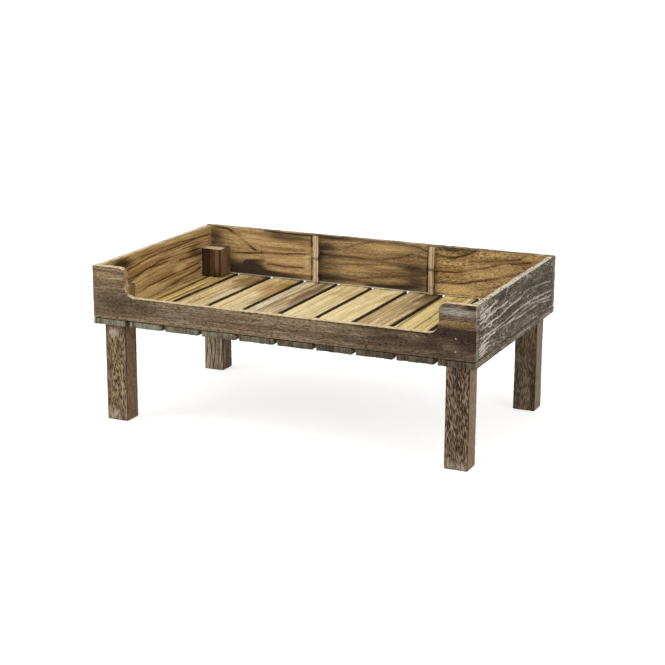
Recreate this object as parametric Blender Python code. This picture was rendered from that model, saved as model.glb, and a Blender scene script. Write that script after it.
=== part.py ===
# Drop-front crate display stand: a slatted tray with low plank walls on four legs.
# Metres, +Z up, +X to the right, front towards -Y.
# The origin lies on the floor, under the middle of the tray.

import math

import bmesh
import bpy
from mathutils import Matrix, Vector

MM = 0.001

# Tray and its plank walls
STAND_WIDTH = 600 * MM
STAND_DEPTH = 362 * MM
WALL_HEIGHT = 79 * MM
WALL_THICKNESS = 11 * MM
JOINT_GAP = 0.3 * MM  # between pieces that bear on each other
BOARD_EASE = 0.8 * MM  # rounding of a board's sawn edges

# Drop front: the front board keeps its full height only at its two cheeks
FRONT_DROP = 44 * MM
CHEEK_WIDTH = 55 * MM
CHEEK_TOP_RADIUS = 11.5 * MM
CHEEK_FOOT_RADIUS = 14.5 * MM
ARC_STEPS = 8

# Floor slats, running front to back under the walls
SLAT_COUNT = 10
SLAT_GAP = 5.5 * MM
SLAT_THICKNESS = 9.5 * MM

# Back wall in equal panels, with an upright batten over each joint
BACK_PANELS = ("left", "middle", "right")
BATTEN_WIDTH = 10 * MM
BATTEN_THICKNESS = 5.5 * MM
BATTEN_SETDOWN = 1.5 * MM  # from the rim to the top of a batten
BATTEN_OFFSET = 3.5 * MM  # to the right of its joint, which it still covers

# Legs under the tray and the blocks that stand over them in its corners
LEG_LENGTH = 150 * MM
LEG_WIDTH = 34 * MM
LEG_DEPTH = 30.5 * MM
LEG_SETBACK = 12.5 * MM  # from the stand's outer faces
BLOCK_WIDTH = 35 * MM
BLOCK_DEPTH = 35 * MM
BLOCK_HEIGHT = 47 * MM
LEG_EASE = 1.2 * MM

# Double-ended dowel screw that joins leg, slat and block
DOWEL_DIAMETER = 7 * MM
DOWEL_IN_LEG = 35 * MM
DOWEL_IN_BLOCK = 28 * MM
DOWEL_POINT = 6 * MM
DOWEL_SIDES = 12

# Nails, with their heads just under the surface of the wood
NAIL_HEAD = 3.2 * MM
NAIL_HEAD_THICKNESS = 0.8 * MM
NAIL_SHANK = 1.6 * MM
NAIL_POINT = 2.4 * MM
NAIL_SINK = 0.2 * MM
NAIL_BITE = 8.5 * MM  # into the piece that holds the nail
NAIL_SPREAD = 18.5 * MM  # between the two nails of a pair
NAIL_DROP = 2 * MM  # of a pair's middle below that of its block
NAIL_EDGE = 8 * MM  # least distance from a panel joint
NAIL_SIDES = 8
PIN_BITE = 7 * MM  # of a batten pin into its panel
PIN_OFFSET = 2.6 * MM  # from the batten's middle, away from the joint behind it

# Bored holes
BORE_CLEARANCE = 0.2 * MM
BORE_PAST = 1 * MM  # how far a cutter stands out of the wood

MERGE_DISTANCE = 0.001 * MM
SHARP_ANGLE = math.radians(30)

SLAT_BASE = LEG_LENGTH + JOINT_GAP
WALL_BASE = SLAT_BASE + SLAT_THICKNESS + JOINT_GAP
RIM = WALL_BASE + WALL_HEIGHT
SLAT_WIDTH = (STAND_WIDTH - (SLAT_COUNT - 1) * SLAT_GAP) / SLAT_COUNT
SLAT_PITCH = SLAT_WIDTH + SLAT_GAP
PANEL_LENGTH = (STAND_WIDTH - (len(BACK_PANELS) - 1) * JOINT_GAP) / len(BACK_PANELS)
PANEL_PITCH = PANEL_LENGTH + JOINT_GAP
WALL_SEAT = WALL_THICKNESS + JOINT_GAP  # from an outer face to what stands against the wall
WALL_MIDDLE = STAND_DEPTH / 2 - WALL_THICKNESS / 2  # of the front and back walls' thickness
BLOCK_X = STAND_WIDTH / 2 - WALL_SEAT - BLOCK_WIDTH / 2
BLOCK_Y = STAND_DEPTH / 2 - WALL_SEAT - BLOCK_DEPTH / 2
LEG_X = STAND_WIDTH / 2 - LEG_SETBACK - LEG_WIDTH / 2
LEG_Y = STAND_DEPTH / 2 - LEG_SETBACK - LEG_DEPTH / 2
BLOCK_MIDDLE = WALL_BASE + BLOCK_HEIGHT / 2
CORNERS = {
    "front_left": (-1, -1),
    "front_right": (1, -1),
    "rear_left": (-1, 1),
    "rear_right": (1, 1),
}


def clear_scene():
    for item in list(bpy.data.objects):
        bpy.data.objects.remove(item, do_unlink=True)


def make_material(name, colour, roughness, metallic=0.0):
    material = bpy.data.materials.new(name)
    material.use_nodes = True
    shader = material.node_tree.nodes["Principled BSDF"]
    shader.inputs["Base Color"].default_value = (*colour, 1)
    shader.inputs["Roughness"].default_value = roughness
    shader.inputs["Metallic"].default_value = metallic
    return material


def finish_mesh(name, builder):
    bmesh.ops.recalc_face_normals(builder, faces=builder.faces)
    mesh = bpy.data.meshes.new(name)
    builder.to_mesh(mesh)
    builder.free()
    mesh.shade_smooth()
    mesh.set_sharp_from_angle(angle=SHARP_ANGLE)
    return mesh


def box_mesh(name, size):
    builder = bmesh.new()
    bmesh.ops.create_cube(builder, size=1)
    bmesh.ops.scale(builder, vec=size, verts=builder.verts)
    return finish_mesh(name, builder)


def plank_mesh(name, outline, thickness):
    """An upright plank from its outline of (x, z) points, centred on its thickness."""
    builder = bmesh.new()
    face = builder.faces.new([builder.verts.new((x, -thickness / 2, z)) for x, z in outline])
    pulled = bmesh.ops.extrude_face_region(builder, geom=[face])["geom"]
    moved = [item for item in pulled if isinstance(item, bmesh.types.BMVert)]
    bmesh.ops.translate(builder, vec=(0, thickness, 0), verts=moved)
    return finish_mesh(name, builder)


def turned_mesh(name, profile, sides):
    """A solid turned round Z from (radius, height) points that start and end on the axis."""
    builder = bmesh.new()
    points = [builder.verts.new((radius, 0, height)) for radius, height in profile]
    edges = [builder.edges.new(pair) for pair in zip(points, points[1:])]
    bmesh.ops.spin(
        builder,
        geom=points + edges,
        axis=(0, 0, 1),
        cent=(0, 0, 0),
        steps=sides,
        angle=math.tau,
        use_merge=True,
    )
    bmesh.ops.remove_doubles(builder, verts=builder.verts, dist=MERGE_DISTANCE)
    return finish_mesh(name, builder)


def place(name, mesh, material, location, outward=Vector((0, 0, 1))):
    """An object with its local +Z turned to outward, held by the stand's root."""
    if material.name not in mesh.materials:
        mesh.materials.append(material)
    item = bpy.data.objects.new(name, mesh)
    item.location = location
    item.rotation_euler = outward.to_track_quat("Z", "Y").to_euler()
    item.parent = root
    bpy.context.collection.objects.link(item)
    return item


def ease_edges(item, width):
    bevel = item.modifiers.new("eased_edges", "BEVEL")
    bevel.width = width
    bevel.segments = 2
    bevel.limit_method = "ANGLE"
    bevel.angle_limit = SHARP_ANGLE


def board(name, size, location, material, ease=BOARD_EASE):
    item = place(name, box_mesh(name, size), material, location)
    ease_edges(item, ease)
    return item


def arc(centre_x, centre_z, radius, start, sweep):
    """Points of an arc, with its angles in degrees."""
    angles = [math.radians(start + sweep * step / ARC_STEPS) for step in range(ARC_STEPS + 1)]
    return [(centre_x + radius * math.cos(a), centre_z + radius * math.sin(a)) for a in angles]


def front_outline():
    half = STAND_WIDTH / 2
    low_edge = WALL_HEIGHT - FRONT_DROP
    cheek_edge = half - CHEEK_WIDTH
    right = [(half, 0), (half, WALL_HEIGHT)]
    right += arc(
        cheek_edge + CHEEK_TOP_RADIUS, WALL_HEIGHT - CHEEK_TOP_RADIUS, CHEEK_TOP_RADIUS, 90, 90
    )
    right += arc(
        cheek_edge - CHEEK_FOOT_RADIUS, low_edge + CHEEK_FOOT_RADIUS, CHEEK_FOOT_RADIUS, 0, -90
    )
    return right + [(-x, z) for x, z in reversed(right)]


def make_walls():
    front_mesh = plank_mesh("front_board", front_outline(), WALL_THICKNESS)
    walls["front"] = place("front_board", front_mesh, board_wood, (0, -WALL_MIDDLE, WALL_BASE))
    ease_edges(walls["front"], BOARD_EASE)
    middle_height = WALL_BASE + WALL_HEIGHT / 2
    side_size = (WALL_THICKNESS, STAND_DEPTH - 2 * WALL_SEAT, WALL_HEIGHT)
    for side, sign in (("left", -1), ("right", 1)):
        centre = (sign * (STAND_WIDTH - WALL_THICKNESS) / 2, 0, middle_height)
        walls[side] = board(f"{side}_side_board", side_size, centre, board_wood)
    panel_size = (PANEL_LENGTH, WALL_THICKNESS, WALL_HEIGHT)
    for index, where in enumerate(BACK_PANELS):
        centre = (panel_middle(index), WALL_MIDDLE, middle_height)
        panels.append(board(f"back_panel_{where}", panel_size, centre, board_wood))


def panel_middle(index):
    return (index - (len(BACK_PANELS) - 1) / 2) * PANEL_PITCH


def panel_joints():
    return [panel_middle(index) + PANEL_PITCH / 2 for index in range(len(BACK_PANELS) - 1)]


def make_battens():
    height = WALL_HEIGHT - BATTEN_SETDOWN
    size = (BATTEN_WIDTH, BATTEN_THICKNESS, height)
    face = STAND_DEPTH / 2 - WALL_SEAT - BATTEN_THICKNESS
    middle = WALL_BASE + height / 2
    mesh = nail_mesh("batten_pin", BATTEN_THICKNESS + JOINT_GAP + PIN_BITE)
    bore = nail_mesh("batten_pin_bore", BATTEN_THICKNESS + JOINT_GAP + PIN_BITE, BORE_CLEARANCE)
    for index, (joint, where) in enumerate(zip(panel_joints(), ("left", "right"))):
        x = joint + BATTEN_OFFSET
        centre = (x, face + BATTEN_THICKNESS / 2, middle)
        batten = board(f"back_batten_{where}", size, centre, batten_wood)
        head = Vector((x + PIN_OFFSET, face, middle))
        pieces = (batten, panels[index + 1])
        drive(f"batten_pin_{where}", mesh, bore, head, Vector((0, -1, 0)), pieces)


def make_slats():
    size = (SLAT_WIDTH, STAND_DEPTH, SLAT_THICKNESS)
    for index in range(SLAT_COUNT):
        centre = (slat_middle(index), 0, SLAT_BASE + SLAT_THICKNESS / 2)
        slats.append(board(f"slat_{index + 1:02d}", size, centre, slat_wood))


def slat_middle(index):
    return (index - (SLAT_COUNT - 1) / 2) * SLAT_PITCH


def make_corners():
    leg_size = (LEG_WIDTH, LEG_DEPTH, LEG_LENGTH)
    block_size = (BLOCK_WIDTH, BLOCK_DEPTH, BLOCK_HEIGHT)
    dowel = dowel_mesh("leg_dowel_screw")
    bore = dowel_mesh("leg_dowel_bore", BORE_CLEARANCE)
    for where, (side, end) in CORNERS.items():
        x, y = side * LEG_X, end * LEG_Y
        leg = board(f"leg_{where}", leg_size, (x, y, LEG_LENGTH / 2), leg_wood, LEG_EASE)
        centre = (side * BLOCK_X, end * BLOCK_Y, BLOCK_MIDDLE)
        block = board(f"corner_block_{where}", block_size, centre, leg_wood, LEG_EASE)
        blocks[where] = block
        slat = slats[0] if side < 0 else slats[-1]
        top = Vector((x, y, LEG_LENGTH))
        drive(f"leg_dowel_screw_{where}", dowel, bore, top, Vector((0, 0, 1)), (leg, slat, block))


def dowel_mesh(name, clearance=0.0):
    """Pointed at both ends, with z = 0 at the top of the leg."""
    radius = DOWEL_DIAMETER / 2 + clearance
    top = WALL_BASE - LEG_LENGTH + DOWEL_IN_BLOCK
    tip = 2 * clearance
    profile = [
        (0, top + tip),
        (radius, top - DOWEL_POINT),
        (radius, DOWEL_POINT - DOWEL_IN_LEG),
        (0, -DOWEL_IN_LEG - tip),
    ]
    return turned_mesh(name, profile, DOWEL_SIDES)


def nail_mesh(name, length, clearance=0.0):
    """Driven along -Z from the wood's surface at z = 0. With a clearance, the hole for it."""
    head = NAIL_HEAD / 2 + clearance
    shank = NAIL_SHANK / 2 + clearance
    top = BORE_PAST if clearance else -NAIL_SINK
    seat = -NAIL_SINK - NAIL_HEAD_THICKNESS - clearance
    profile = [
        (0, top),
        (head, top),
        (head, seat),
        (shank, seat),
        (shank, NAIL_POINT - length),
        (0, -length - 2 * clearance),
    ]
    return turned_mesh(name, profile, NAIL_SIDES)


def drive(name, mesh, bore, head, outward, pieces):
    """Sets a fastener with its head facing outward, and marks its hole in each piece it goes through."""
    fastener = place(name, mesh, fixing_steel, head, outward)
    for piece in pieces:
        bores.setdefault(piece, []).append((bore, Matrix.LocRotScale(head, fastener.rotation_euler, None)))


def nail_blocks():
    """Nails through the walls into the corner blocks: a pair from the front or back, one from the side."""
    length = WALL_SEAT + NAIL_BITE
    mesh = nail_mesh("wall_nail", length)
    bore = nail_mesh("wall_nail_bore", length, BORE_CLEARANCE)
    for where, (side, end) in CORNERS.items():
        block = blocks[where]
        end_wall = walls["front"] if end < 0 else (panels[0] if side < 0 else panels[-1])
        for level, lift in (("lower", -1), ("upper", 1)):
            height = BLOCK_MIDDLE - NAIL_DROP + lift * NAIL_SPREAD / 2
            head = Vector((side * LEG_X, end * STAND_DEPTH / 2, height))
            drive(f"end_nail_{where}_{level}", mesh, bore, head, Vector((0, end, 0)), (end_wall, block))
        side_wall = walls["left"] if side < 0 else walls["right"]
        head = Vector((side * STAND_WIDTH / 2, end * BLOCK_Y, BLOCK_MIDDLE))
        drive(f"side_nail_{where}", mesh, bore, head, Vector((side, 0, 0)), (side_wall, block))


def nail_slats():
    """Nails up through the inner slats into the front and back walls. Dowel screws hold the outer two."""
    length = SLAT_THICKNESS + JOINT_GAP + NAIL_BITE
    mesh = nail_mesh("slat_nail", length)
    bore = nail_mesh("slat_nail_bore", length, BORE_CLEARANCE)
    for index in range(1, SLAT_COUNT - 1):
        x = clear_of_joints(slat_middle(index))
        panel = min(panels, key=lambda item: abs(item.location.x - x))
        for end_name, end, wall in (("front", -1, walls["front"]), ("rear", 1, panel)):
            head = Vector((x, end * WALL_MIDDLE, SLAT_BASE))
            name = f"slat_nail_{end_name}_{index + 1:02d}"
            drive(name, mesh, bore, head, Vector((0, 0, -1)), (slats[index], wall))


def clear_of_joints(x):
    """Moves a nail sideways where it would come too near a joint of the back panels."""
    for joint in panel_joints():
        if abs(x - joint) < NAIL_EDGE:
            return joint + math.copysign(NAIL_EDGE, x - joint)
    return x


def cut_bores():
    """One cutter for each bored piece, with all its holes."""
    for piece, holes in bores.items():
        builder = bmesh.new()
        for mesh, matrix in holes:
            hole = mesh.copy()
            hole.transform(matrix)
            builder.from_mesh(hole)
            bpy.data.meshes.remove(hole)
        cutter = bpy.data.objects.new(f"{piece.name}_bores", finish_mesh(f"{piece.name}_bores", builder))
        cutter.hide_render = True
        cutter.display_type = "WIRE"
        cutter.parent = root
        bpy.context.collection.objects.link(cutter)
        cut = piece.modifiers.new("bores", "BOOLEAN")
        cut.operation = "DIFFERENCE"
        cut.solver = "EXACT"
        cut.object = cutter


clear_scene()
root = bpy.data.objects.new("crate_display_stand", None)
bpy.context.collection.objects.link(root)

board_wood = make_material("weathered_board", (0.15, 0.095, 0.055), 0.75)
slat_wood = make_material("tan_slat", (0.33, 0.21, 0.095), 0.7)
leg_wood = make_material("brown_leg", (0.13, 0.075, 0.042), 0.75)
batten_wood = make_material("pale_batten", (0.36, 0.24, 0.12), 0.7)
fixing_steel = make_material("fixing_steel", (0.55, 0.53, 0.5), 0.35, 1.0)

walls = {}
panels = []
slats = []
blocks = {}
bores = {}

make_walls()
make_slats()
make_corners()
make_battens()
nail_blocks()
nail_slats()
cut_bores()
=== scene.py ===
import math
from functools import partial

import bpy
import numpy as np
from mathutils import Matrix, Vector


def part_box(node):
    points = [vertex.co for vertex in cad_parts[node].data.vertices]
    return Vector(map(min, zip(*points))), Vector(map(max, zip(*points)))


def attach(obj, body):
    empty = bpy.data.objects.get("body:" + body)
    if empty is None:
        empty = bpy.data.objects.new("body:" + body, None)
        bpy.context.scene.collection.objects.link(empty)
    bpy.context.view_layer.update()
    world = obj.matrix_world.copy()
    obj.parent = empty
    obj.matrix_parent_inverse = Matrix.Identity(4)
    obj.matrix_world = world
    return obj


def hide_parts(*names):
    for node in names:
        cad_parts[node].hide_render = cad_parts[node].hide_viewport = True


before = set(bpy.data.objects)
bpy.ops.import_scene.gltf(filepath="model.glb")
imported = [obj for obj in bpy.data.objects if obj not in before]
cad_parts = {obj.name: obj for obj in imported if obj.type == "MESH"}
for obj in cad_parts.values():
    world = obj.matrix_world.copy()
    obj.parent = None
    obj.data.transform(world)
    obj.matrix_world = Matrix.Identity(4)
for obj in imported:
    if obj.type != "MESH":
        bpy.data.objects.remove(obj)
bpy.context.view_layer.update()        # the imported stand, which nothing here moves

mm = 0.001
everywhere = 999                                # mm, a reach that covers any face
allOver = (0, 0, everywhere, everywhere)


# sRGB hex to the linear colour that a node takes
def linear(hexColour):
    channels = [int(hexColour[start:start + 2], 16) / 255 for start in (1, 3, 5)]
    return [c / 12.92 if c <= 0.04045 else ((c + 0.055) / 1.055) ** 2.4 for c in channels] + [1]


# links sockets to the inputs of a node, or sets plain values on them
def feed(tree, node, inputs):
    for key, value in inputs.items():
        if isinstance(value, bpy.types.NodeSocket):
            tree.links.new(value, node.inputs[key])
        else:
            node.inputs[key].default_value = value


# adds a node with its settings and links, and gives back one output socket, or the node itself; a kind
# without Node in its name is a shader node
def addNode(tree, kind, inputs={}, out=0, **settings):
    node = tree.nodes.new(kind if "Node" in kind else "ShaderNode" + kind)
    for name, value in settings.items():
        setattr(node, name, value)
    feed(tree, node, inputs)
    return node if out is None else node.outputs[out]


# settings that many nodes share
smooth = dict(interpolation_type="SMOOTHSTEP")
blend = dict(out=2, data_type="RGBA")
times = dict(operation="MULTIPLY")
timesAdd = dict(operation="MULTIPLY_ADD")


# a node group with its sockets, and the function that adds nodes to it
def openTree(name, kind, inputs, outputs):
    tree = bpy.data.node_groups.new(name, kind)
    for way, sockets in (("INPUT", inputs), ("OUTPUT", outputs)):
        for socket, form in sockets.items():
            tree.interface.new_socket(name=socket, in_out=way, socket_type="NodeSocket" + form)
    return tree, partial(addNode, tree)


# ends a geometry tree with real meshes in the given material
def closeTree(add, geometry, given):
    real = add("GeometryNodeRealizeInstances", {"Geometry": geometry})
    dressed = add("GeometryNodeSetMaterial", {"Geometry": real, "Material": given["Material"]})
    add("NodeGroupOutput", {"Geometry": dressed}, out=None)


def openMaterial(name):
    material = bpy.data.materials.new(name)
    material.use_nodes = True
    return material, material.node_tree, material.node_tree.nodes["Principled BSDF"]


def addObject(name, data):
    item = bpy.data.objects.new(name, data)
    bpy.context.scene.collection.objects.link(item)
    return item


# keeps a number or a vector for each point of a mesh
def keepValues(mesh, name, values):
    values = np.asarray(values, np.float32)
    kind, field = ("FLOAT", "value") if values.ndim == 1 else ("FLOAT_VECTOR", "vector")
    mesh.attributes.new(name, kind, "POINT").data.foreach_set(field, values.ravel())


noiseCells = 4096                                       # a power of two
noiseKeys = np.array([73856093, 19349663, 83492791])    # primes that scatter the cells


# smooth noise from 0 to 1 at points u, v, w, for a size along each
def softNoise(u, v, w, sizes, shift, seed):
    points = np.column_stack([u / sizes[0], v / sizes[1], w / sizes[2]]) + shift
    table = np.random.default_rng(seed).random(noiseCells)
    cell = np.floor(points).astype(np.int64)
    part = points - cell
    ease = part * part * (3 - 2 * part)
    total = np.zeros(len(points))
    for corner in np.ndindex(2, 2, 2):
        key = (cell + corner) @ noiseKeys & (noiseCells - 1)
        total += table[key] * np.prod(np.where(corner, ease, 1 - ease), axis=1)
    return total


# Torched and wire-brushed paulownia: soft pale wood whose growth rings a flame turns brown, with
# open pores as dark flecks on flat-sawn faces, grey where it weathered and bare at worn edges.
# Each noise has its mm along, across and through the grain, and its detail. Real fibres and pores
# are finer, and are drawn so that they show.
woodNoise = dict(
    fibre=(42, 1.9, 1.9, 2.5), grit=(5, 1.7, 1.7, 2.5), streak=(150, 9, 9, 2.5),
    fleck=(8.5, 1.4, 1.4, 0.3), blot=(34, 13, 13, 2.5), saw=(1e6, 2.6, 40, 2.5),
)
# the torch colour and mark also hold painted shade: in the slat gaps, under the walls and beside the corner
# blocks
woodColours = ("light", "mid", "dark", "outerLight", "outerMid", "outerDark", "char", "grey", "warm",
               "bare", "endLight", "endDark")
woodAmounts = ("lines", "outerLines", "flecks", "outerFlecks", "lime", "grooves", "contrast", "grit")
woodMarks = ("ring", "late", "flat", "ends", "bare", "char", "grey", "warm", "outer")
woodSides = (("light", "mid", "dark", "lines"), ("outerLight", "outerMid", "outerDark", "outerLines"))
# how much of each noise frays a mark
woodFray = dict(
    ring=dict(fibre=0.3), warm=dict(streak=0.6), grey=dict(fibre=1.2), saw=dict(blot=0.7),
    bare=dict(blot=0.7), char=dict(streak=0.5, grit=0.25, fibre=0.6),
)
# what each pattern is drawn from, where it starts and is full, and for straight ramps what they give there
woodRamps = dict(
    rise=("phase", 0.6, 0.92), fall=("phase", 1, 0.92), groove=("phase", 0.34, 0.1),
    share=("streak", 0.36, 0.64), pore=("fleck", 0.5, 0.62), pocket=("fleck", 0.44, 0.34),
    patch=("blot", 0.36, 0.6), warm=("warm", 0.5, 1.1), grey=("grey", 0.8, 1.5), char=("char", 0.84, 1.58),
    bare=("bare", 0.65, 1.1), saw=("saw", 0.68, 1.02), late=("fibre", 0.3, 0.6, 0.6, 1),
    shade=("blot", 0, 1, 0.8, 1.2), brightest=("char", 0, 1, 1.25, 2), clean=("char", 0, 1, 1, 0.25),
    rough=("fibre", 0.25, 0.75, 0.6, 0.92),
)
# powers that shade red and blue, least shade, light of a speck, least light, and the surface; depth is mm
woodShade = dict(
    redPower=0.9, bluePower=1.3, darkest=0.2, speck=(0.022, 0.018, 0.014), black=(0.005, 0.004, 0.003),
    noiseRoughness=0.6, lineRoughness=-0.1, bumpStrength=0.55, bumpDepth=0.5, ior=1.45,
)
woodHeight = dict(line=0.5, fleck=-0.5, grit=0.6, ridge=1.2)


def buildWoodGroup():
    inputs = dict.fromkeys(woodColours, "Color") | dict.fromkeys(woodAmounts, "Float")
    outputs = {"colour": "Color", "roughness": "Float", "height": "Float"}
    tree, add = openTree("brushedPaulownia", "ShaderNodeTree", inputs, outputs)
    given = add("NodeGroupInput", out=None).outputs
    mark = {name: add("Attribute", out="Fac", attribute_name=name) for name in woodMarks}
    grain = add("Attribute", out="Vector", attribute_name="grain")
    noise = {}
    for name, (*sizes, detail) in woodNoise.items():
        spot = add("VectorMath", {0: grain, 1: [1 / (size * mm) for size in sizes]}, **times)
        noise[name] = add("TexNoise", {
            "Vector": spot, "Scale": 1, "Detail": detail, "Roughness": woodShade["noiseRoughness"]})
    field = {**noise, **mark}
    for name, weights in woodFray.items():
        for cloth, weight in weights.items():
            field[name] = add("Math", {0: noise[cloth], 1: weight, 2: field[name]}, **timesAdd)
    field["phase"] = add("Math", {0: field["ring"]}, operation="FRACT")
    for name, (source, *ends) in woodRamps.items():
        bend = smooth if len(ends) == 2 else {}
        field[name] = add("MapRange", {0: field[source], **dict(enumerate(ends, 1))}, **bend)

    # torched tones inside, weathered ones outside. Growth lines are soft on the inner side of each ring,
    # sharp on the outer, and boldest where they are marked.
    line = add("Math", {0: field["rise"], 1: field["fall"]}, **times)
    late = add("Math", {0: field["late"], 1: mark["late"]}, **times)
    sides = []
    for light, mid, dark, lines in woodSides:
        ground = add("Mix", {0: field["share"], 6: given[light], 7: given[mid]}, **blend)
        drawn = add("Math", {0: line, 1: given[lines], 2: late}, **timesAdd, use_clamp=True)
        sides.append(add("Mix", {0: drawn, 6: ground, 7: given[dark]}, **blend))
    colour = add("Mix", {0: mark["outer"], 6: sides[0], 7: sides[1]}, **blend)

    # pores of the flat-sawn faces
    fleck = add("Mix", {0: mark["outer"], 2: given["flecks"], 3: given["outerFlecks"]})
    for factor in (mark["flat"], field["pore"]):
        fleck = add("Math", {0: fleck, 1: factor}, **times)
    colour = add("Mix", {0: fleck, 6: colour, 7: given["dark"]}, **blend)

    # golden and cool grey veils, then torch marks and painted shade
    for name in ("warm", "grey", "char"):
        colour = add("Mix", {0: field[name], 6: colour, 7: given[name]}, **blend)

    # fibres and grit shade the whole face
    shade = field["shade"]
    for name, amount in (("fibre", "contrast"), ("grit", "grit")):
        swing = add("Math", {0: noise[name], 1: 0.5}, operation="SUBTRACT")
        shade = add("Math", {0: swing, 1: given[amount], 2: shade}, **timesAdd)
    shade = add("Clamp", {0: shade, 1: woodShade["darkest"], 2: field["brightest"]})
    redder, bluer = (add("Math", {0: shade, 1: woodShade[name]}, operation="POWER")
                     for name in ("redPower", "bluePower"))
    tint = add("CombineXYZ", {0: redder, 1: shade, 2: bluer})
    speck = add("Math", {0: swing, 1: given["grit"]}, **times)
    speck = add("VectorMath", {0: woodShade["speck"], "Scale": speck}, operation="SCALE")
    colour = add("VectorMath", {0: colour, 1: tint, 2: speck}, **timesAdd)
    colour = add("VectorMath", {0: colour, 1: woodShade["black"]}, operation="MAXIMUM")

    # lime left in grooves and pores of weathered faces
    pocket = add("Math", {0: field["pocket"], 1: mark["flat"]}, **times)
    limed = add("Math", {0: field["groove"], 1: given["grooves"], 2: pocket}, **timesAdd, use_clamp=True)
    for factor in (field["patch"], given["lime"], mark["outer"], field["clean"]):
        limed = add("Math", {0: limed, 1: factor}, **times)
    colour = add("Mix", {0: limed, 6: colour, 7: given["grey"]}, **blend)

    # sawn ends and bare wood
    endTone = add("Mix", {0: field["saw"], 6: given["endDark"], 7: given["endLight"]}, **blend)
    colour = add("Mix", {0: mark["ends"], 6: colour, 7: endTone}, **blend)
    bareTone = add("VectorMath", {0: given["bare"], "Scale": shade}, operation="SCALE")
    colour = add("Mix", {0: field["bare"], 6: colour, 7: bareTone}, **blend)

    rough = add("Math", {0: line, 1: woodShade["lineRoughness"], 2: field["rough"]}, **timesAdd)
    ridge = add("Math", {0: noise["saw"], 1: mark["ends"]}, **times)
    height = noise["fibre"]
    for bump, weight in zip((line, fleck, noise["grit"], ridge), woodHeight.values()):
        height = add("Math", {0: bump, 1: weight, 2: height}, **timesAdd)
    add("NodeGroupOutput", {"colour": colour, "roughness": rough, "height": height}, out=None)
    return tree


woodGroup = buildWoodGroup()


def makeWood(name, look):
    material, tree, shader = openMaterial(name)
    inputs = {key: linear(look[key]) for key in woodColours} | {key: look[key] for key in woodAmounts}
    wood = addNode(tree, "Group", inputs, out=None, node_tree=woodGroup).outputs
    relief = addNode(tree, "Bump", {
        "Height": wood["height"], "Strength": woodShade["bumpStrength"],
        "Distance": woodShade["bumpDepth"] * mm})
    feed(tree, shader, {
        "Base Color": wood["colour"], "Roughness": wood["roughness"], "Normal": relief,
        "IOR": woodShade["ior"], "Specular IOR Level": look["gloss"]})
    return material


# scratches of the wire brush and bites out of the arrises, in mm, and the ramps over a growth ring
brush = dict(
    fibreLength=30, fibreWidth=2.2, biteSize=7, detail=2, rise=(0.45, 0.9, -1, 0), fall=(0.93, 1, 0, -1),
    chip=(0.42, 0.72, 0),
)


# Geometry Nodes: sinks the soft wood between the rings and wears the arrises of any plank
def buildReliefTree():
    amounts = ("Relief", "Fibre Depth", "Fibre Length", "Fibre Width", "Nibble")
    inputs = {"Geometry": "Geometry"} | dict.fromkeys(amounts, "Float")
    inputs |= {"Seed": "Int", "Material": "Material"}
    tree, add = openTree("brushedRelief", "GeometryNodeTree", inputs, {"Geometry": "Geometry"})
    given = add("NodeGroupInput", out=None).outputs
    ring, edge = (add("GeometryNodeInputNamedAttribute", {"Name": name}, data_type="FLOAT")
                  for name in ("ring", "edge"))
    grain = add("GeometryNodeInputNamedAttribute", {"Name": "grain"}, data_type="FLOAT_VECTOR")
    width = given["Fibre Width"]
    size = add("CombineXYZ", {0: given["Fibre Length"], 1: width, 2: width})
    where = add("VectorMath", {0: grain, 1: size}, operation="DIVIDE")
    where = add("VectorMath", {0: where, 1: given["Seed"]}, operation="ADD")
    fibre = add("TexNoise", {"Vector": where, "Scale": 1, "Detail": brush["detail"]})
    bite = add("TexNoise", {
        "Vector": grain, "Scale": 1 / (brush["biteSize"] * mm), "Detail": brush["detail"]})
    phase = add("Math", {0: ring}, operation="FRACT")
    rise, fall = (add("MapRange", {0: phase, **dict(enumerate(brush[name], 1))}, **smooth)
                  for name in ("rise", "fall"))
    ridge = add("Math", {0: rise, 1: fall}, operation="MINIMUM")
    sunk = add("Math", {0: ridge, 1: given["Relief"]}, **times)
    scratch = add("Math", {0: fibre, 1: given["Fibre Depth"]}, **times)
    chip = add("MapRange", {0: bite, **dict(enumerate(brush["chip"], 1)), 4: given["Nibble"]}, **smooth)
    chip = add("Math", {0: chip, 1: edge}, **times)
    depth = add("Math", {0: sunk, 1: scratch}, operation="SUBTRACT")
    depth = add("Math", {0: depth, 1: chip}, operation="SUBTRACT")
    normal = add("GeometryNodeInputNormal")
    move = add("VectorMath", {0: normal, "Scale": depth}, operation="SCALE")
    moved = add("GeometryNodeSetPosition", {"Geometry": given["Geometry"], "Offset": move})
    closeTree(add, moved, given)
    return tree


reliefTree = buildReliefTree()


# runs a tree on an object and keeps the result as its plain mesh
def bakeTree(piece, tree, values):
    modifier = piece.modifiers.new(tree.name, "NODES")
    modifier.node_group = tree
    for item in tree.interface.items_tree:
        if item.in_out == "INPUT" and item.name in values:
            modifier[item.identifier] = values[item.name]
    graph = bpy.context.evaluated_depsgraph_get()
    solid = piece.evaluated_get(graph)
    made = bpy.data.meshes.new_from_object(solid, preserve_all_data_layers=True, depsgraph=graph)
    piece.modifiers.clear()
    piece.data = made


def evenLines(length, step, margin):
    count = max(2, round((length - 2 * margin) / step) + 1)
    return np.concatenate([[0], np.linspace(margin, length - margin, count), [length]])


# arrises, in easings: where layers lie, how far corners are cut back, how far into a face points follow
rounding = dict(layers=(0, 0.12, 0.45, 1), corner=0.6, follow=4)


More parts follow.
